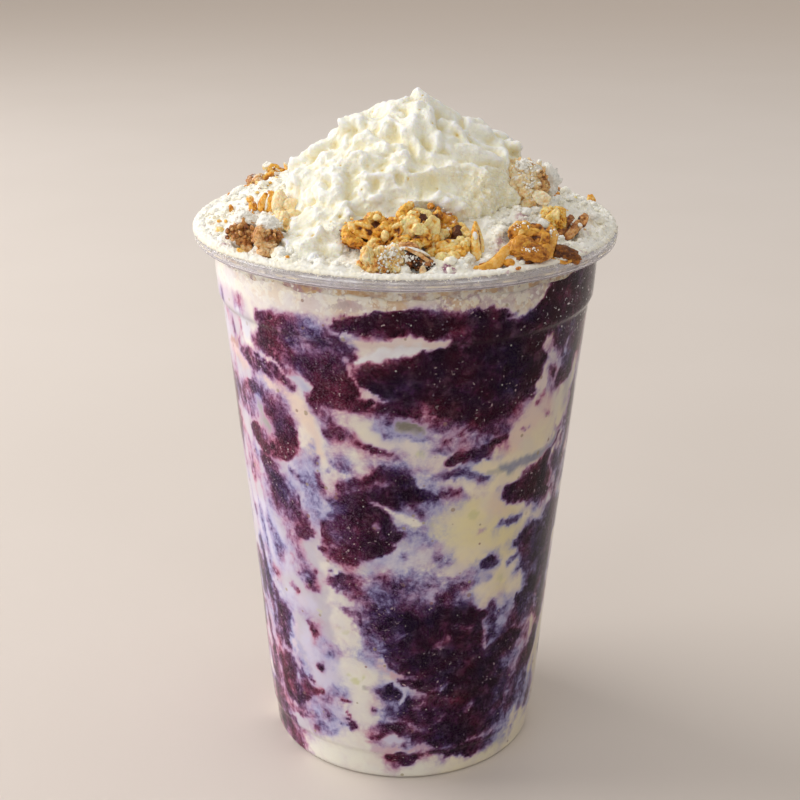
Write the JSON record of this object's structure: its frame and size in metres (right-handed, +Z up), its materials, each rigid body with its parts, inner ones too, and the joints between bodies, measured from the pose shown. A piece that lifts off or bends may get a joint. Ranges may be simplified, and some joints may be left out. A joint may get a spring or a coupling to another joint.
{
  "type": "acai cup",
  "caption": "Clear tapered plastic cup of marbled acai puree and cream, heaped over the brim with milk powder, whipped cream and granola clusters.",
  "frame": {"origin": "centre of the foot ring, on the surface the cup stands on", "axes": "+Z up along the cup's axis; -Y is the front that the picture shows, +X is the picture's right"},
  "size_m": [0.098, 0.098, 0.1628],
  "materials": {
    "clear_cup": "clear thin PET sheet, glossy",
    "acai": "frozen acai puree marbled with ivory cream, moist against the wall",
    "milk_powder": "crumbly ivory milk powder with granola crumbs",
    "cream": "whipped cream, soft satin",
    "granola": "toasted oat flakes, slightly glazed",
    "granola_dark": "dark toasted oats, powder dusted",
    "granola_dusted": "oat cluster under milk powder",
    "nut": "glazed nut",
    "puffed_grain": "pale puffed grain"
  },
  "bodies": {
    "root": {"cup": "clear_cup", "acai_filling": "acai", "powder_crumble_heap": "milk_powder", "whipped_cream": "cream", "granola_oat_cluster": "granola", "granola_flake_cluster": "granola", "granola_crumb_cluster": "granola", "oat_husk": "granola", "nut_sliver": "nut", "amber_nut": "nut", "nut_half": "nut", "granola_nugget_right": "granola", "oat_sticks": "granola_dark", "dusted_cluster": "granola_dusted", "granola_nugget_left": "granola_dark", "granola_nugget_front_left": "granola_dark", "puffed_piece_upper": "puffed_grain", "puffed_piece_lower": "puffed_grain", "oat_pair_left": "granola", "granola_cluster_back": "granola", "coated_piece_front": "puffed_grain", "brown_oat_front": "granola_dark"}
  },
  "joints": []
}
